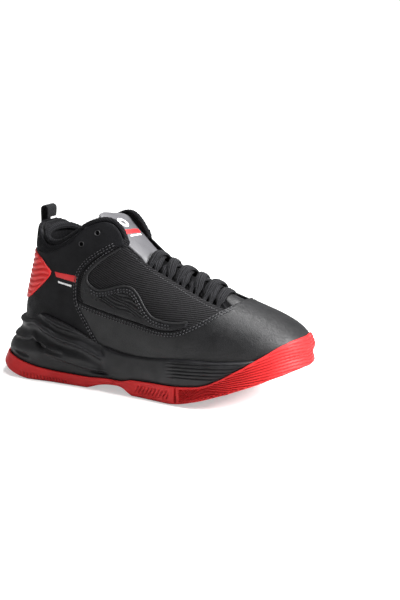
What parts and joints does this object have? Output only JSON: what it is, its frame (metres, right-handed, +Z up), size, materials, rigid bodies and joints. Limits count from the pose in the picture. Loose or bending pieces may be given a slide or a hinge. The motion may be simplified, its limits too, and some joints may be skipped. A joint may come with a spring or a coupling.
{
  "type": "basketball high top",
  "caption": "Laced basketball high top for the right foot, with a padded collar, a folding tongue, a moulded heel counter and a rubber cup sole.",
  "frame": {"origin": "on the ground under the middle of the shoe's box", "axes": "+X towards the toe, +Y towards the inner side of the foot, +Z up"},
  "size_m": [0.3098, 0.1112, 0.1592],
  "materials": {
    "outsole_rubber": "matte moulded red rubber",
    "midsole_foam": "fine-grained black moulded foam",
    "shank_plastic": "matte black plastic plate",
    "board": "stiff fibre board",
    "smooth_leather": "smooth satin black leather",
    "matte_leather": "matte black leather with a fine grain",
    "grey_leather": "smooth dark grey leather",
    "woven_cloth": "black ribbed woven cloth",
    "collar_cloth": "black fine knitted cloth over foam",
    "lining_cloth": "black ribbed lining cloth",
    "padding_foam": "open-cell dark foam",
    "counter_plastic": "satin moulded red plastic",
    "webbing": "black woven webbing",
    "lace_cord": "black flat-oval ribbed lace",
    "aglet_plastic": "black shrunk plastic film"
  },
  "bodies": {
    "shoe": {"outsole": "outsole_rubber", "midsole": "midsole_foam", "shank_plate": "shank_plastic", "strobel_board": "board", "insole": "lining_cloth", "toe_and_vamp_panel": "smooth_leather", "quarter_panel_lateral": "matte_leather", "quarter_panel_medial": "matte_leather", "woven_panel_lateral": "woven_cloth", "woven_panel_medial": "woven_cloth", "side_overlay_lateral": "smooth_leather", "side_overlay_medial": "smooth_leather", "heel_counter_cage": "counter_plastic", "heel_collar_cover": "collar_cloth", "collar_binding": "collar_cloth", "collar_foam_lateral": "padding_foam", "collar_foam_medial": "padding_foam", "toe_puff": "board", "heel_stiffener": "board", "eyestay_lateral": "webbing", "eyestay_medial": "webbing", "vamp_lining": "lining_cloth", "ankle_lining": "lining_cloth", "tongue_base": "collar_cloth", "pull_tab_anchor": "webbing", "shoelace": "lace_cord", "aglet_lateral": "aglet_plastic", "aglet_medial": "aglet_plastic", "lace_loop_lateral_1": "webbing", "lace_loop_lateral_2": "webbing", "lace_loop_lateral_3": "webbing", "lace_loop_lateral_4": "webbing", "lace_loop_lateral_5": "webbing", "lace_loop_lateral_6": "webbing", "lace_loop_medial_1": "webbing", "lace_loop_medial_2": "webbing", "lace_loop_medial_3": "webbing", "lace_loop_medial_4": "webbing", "lace_loop_medial_5": "webbing", "lace_loop_medial_6": "webbing"},
    "tongue": {"tongue_flap": "collar_cloth", "tongue_face_panel": "grey_leather"},
    "pull_tab": {"pull_tab_loop": "webbing"}
  },
  "joints": [
    {"name": "tongue_fold", "type": "hinge", "parent": "shoe", "child": "tongue", "pos_m": [0.0017, -0.0016, 0.119], "axis": [0, 1, 0], "range_deg": [-8, 28], "stiffness_Nm_per_rad": 0.12},
    {"name": "pull_tab_flop", "type": "hinge", "parent": "shoe", "child": "pull_tab", "pos_m": [-0.116, -0.0016, 0.14595], "axis": [0, 1, 0], "range_deg": [-70, 8], "stiffness_Nm_per_rad": 0.01}
  ]
}
